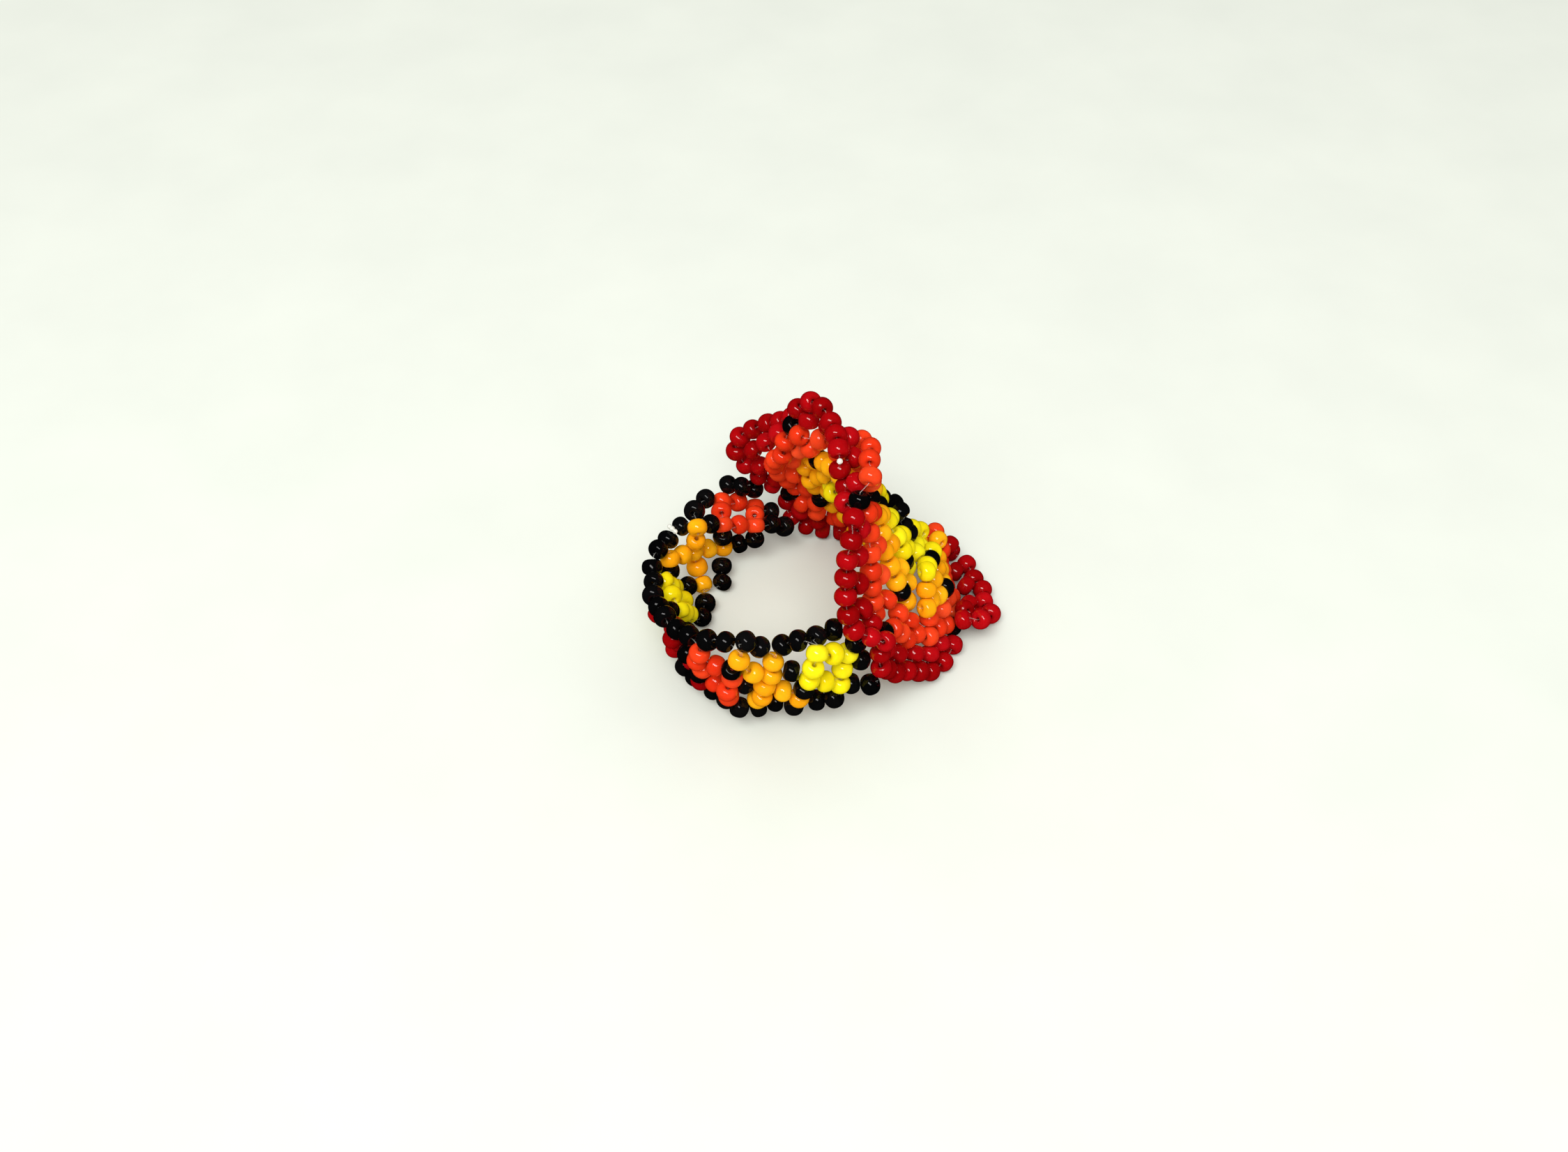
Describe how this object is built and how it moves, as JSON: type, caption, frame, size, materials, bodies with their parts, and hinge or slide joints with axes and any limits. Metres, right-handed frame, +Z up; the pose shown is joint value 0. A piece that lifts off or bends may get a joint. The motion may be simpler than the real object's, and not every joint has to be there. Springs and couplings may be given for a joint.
{
  "type": "netted bead flower ring",
  "caption": "Finger ring of glass seed beads netted on clear nylon: a patterned band with square and cross motifs, closed by a ruffled flower with yellow to dark red petals.",
  "frame": {"origin": "on the surface it stands on, under the middle of its overall box", "axes": "+Z up along the finger axis; +X from the plain side of the band towards the flower; +Y across the band, away from the near wall"},
  "size_m": [0.0388, 0.0329, 0.0292],
  "materials": {
    "bead_yellow": "glossy opaque glass",
    "bead_orange": "glossy opaque glass",
    "bead_coral": "glossy opaque glass",
    "bead_red": "glossy opaque glass",
    "bead_black": "glossy opaque glass",
    "nylon": "clear monofilament"
  },
  "bodies": {
    "band": {"band_1_yellow_square_front": "bead_yellow", "band_2_orange_cross_front": "bead_orange", "band_3_coral_square_left": "bead_coral", "band_4_red_cross_left": "bead_red", "band_5_yellow_square_left": "bead_yellow", "band_6_orange_cross_rear": "bead_orange", "band_7_coral_square_rear": "bead_coral", "band_black_links": "bead_black", "band_lower_edge": "bead_black", "band_thread": "nylon", "band_upper_edge": "bead_black", "knot_band": "nylon"},
    "flower": {"flower_centre_ring": "bead_black", "flower_thread": "nylon", "petal_1_coral_row": "bead_coral", "petal_1_orange_row": "bead_orange", "petal_1_yellow_row": "bead_yellow", "petal_2_coral_row": "bead_coral", "petal_2_orange_row": "bead_orange", "petal_2_yellow_row": "bead_yellow", "petal_3_coral_row": "bead_coral", "petal_3_orange_row": "bead_orange", "petal_3_yellow_row": "bead_yellow", "petal_4_coral_row": "bead_coral", "petal_4_orange_row": "bead_orange", "petal_4_yellow_row": "bead_yellow", "petal_5_coral_row": "bead_coral", "petal_5_orange_row": "bead_orange", "petal_5_yellow_row": "bead_yellow", "petal_6_coral_row": "bead_coral", "petal_6_orange_row": "bead_orange", "petal_6_yellow_row": "bead_yellow", "valley_1_black": "bead_black", "valley_2_black": "bead_black", "valley_3_black": "bead_black", "valley_4_black": "bead_black", "valley_5_black": "bead_black", "valley_6_black": "bead_black"},
    "petal_1": {"petal_1_red_edge": "bead_red", "petal_1_edge_thread": "nylon"},
    "petal_2": {"petal_2_red_edge": "bead_red", "petal_2_edge_thread": "nylon"},
    "petal_3": {"petal_3_red_edge": "bead_red", "petal_3_edge_thread": "nylon"},
    "petal_4": {"petal_4_red_edge": "bead_red", "petal_4_edge_thread": "nylon"},
    "petal_5": {"petal_5_red_edge": "bead_red", "petal_5_edge_thread": "nylon"},
    "petal_6": {"petal_6_red_edge": "bead_red", "petal_6_edge_thread": "nylon", "knot_petal": "nylon"}
  },
  "joints": [
    {"name": "flower_rock", "type": "hinge", "parent": "band", "child": "flower", "pos_m": [0.00097, 0.00208, 0.00921], "axis": [-0.3407, 0.9232, -0.1779], "range_deg": [-2.5, 2.5], "stiffness_Nm_per_rad": 0.02},
    {"name": "petal_1_flex", "type": "hinge", "parent": "flower", "child": "petal_1", "pos_m": [0.00392, -0.01054, 0.01921], "axis": [0.2395, -0.2571, -0.9362], "range_deg": [-8, 2], "stiffness_Nm_per_rad": 0.0003},
    {"name": "petal_2_flex", "type": "hinge", "parent": "flower", "child": "petal_2", "pos_m": [0.0095, -0.00766, 0.00579], "axis": [0.5547, 0.584, -0.5926], "range_deg": [-8, 2], "stiffness_Nm_per_rad": 0.0003},
    {"name": "petal_3_flex", "type": "hinge", "parent": "flower", "child": "petal_3", "pos_m": [0.01471, 0.00435, 0.0026], "axis": [-0.0088, 0.9773, -0.2116], "range_deg": [-8, 2], "stiffness_Nm_per_rad": 0.0003},
    {"name": "petal_4_flex", "type": "hinge", "parent": "flower", "child": "petal_4", "pos_m": [0.00367, 0.01447, 0.00298], "axis": [-0.969, 0.1069, 0.2227], "range_deg": [-8, 2], "stiffness_Nm_per_rad": 0.0003},
    {"name": "petal_5_flex", "type": "hinge", "parent": "flower", "child": "petal_5", "pos_m": [-0.00451, 0.01297, 0.01436], "axis": [0.1349, -0.3179, 0.9385], "range_deg": [-8, 2], "stiffness_Nm_per_rad": 0.0003},
    {"name": "petal_6_flex", "type": "hinge", "parent": "flower", "child": "petal_6", "pos_m": [-0.00066, 0.00155, 0.02455], "axis": [0.3102, -0.9507, 0.0019], "range_deg": [-2, 6], "stiffness_Nm_per_rad": 0.0003}
  ]
}
